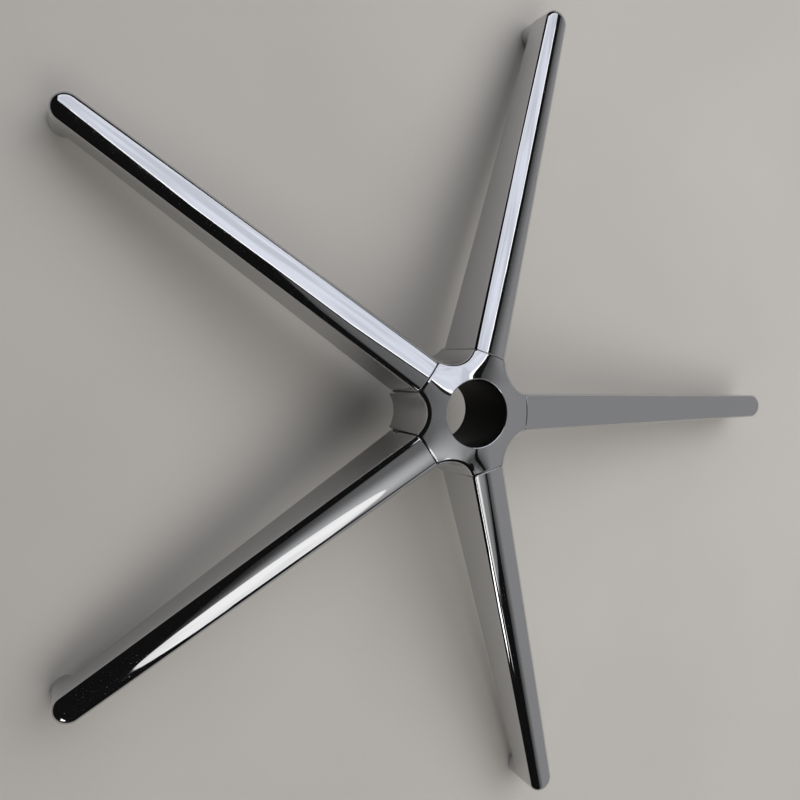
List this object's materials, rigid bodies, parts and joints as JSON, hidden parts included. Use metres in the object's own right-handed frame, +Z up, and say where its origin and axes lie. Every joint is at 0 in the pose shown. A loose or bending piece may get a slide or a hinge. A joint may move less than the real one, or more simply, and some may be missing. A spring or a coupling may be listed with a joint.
{
  "type": "five-star office chair base",
  "caption": "Polished cast star base for a swivel chair: a hub with a tapered column bore, and separate hollow arms with caster sockets at their tips.",
  "frame": {"origin": "centre of the hub bore's lower rim, on the bore's axis", "axes": "+Z up along the bore's axis, +X along arm 1; the other arms follow counter-clockwise seen from above"},
  "size_m": [0.6394, 0.671, 0.1004],
  "materials": {
    "hub_casting": "mirror polish",
    "arm_casting": "mirror polish",
    "screw_steel": "zinc plated"
  },
  "bodies": {
    "root": {"hub": "hub_casting", "arm_1": "arm_casting", "arm_2": "arm_casting", "arm_3": "arm_casting", "arm_4": "arm_casting", "arm_5": "arm_casting", "arm_screws_1": "screw_steel", "arm_screws_2": "screw_steel", "arm_screws_3": "screw_steel", "arm_screws_4": "screw_steel", "arm_screws_5": "screw_steel"}
  },
  "joints": []
}
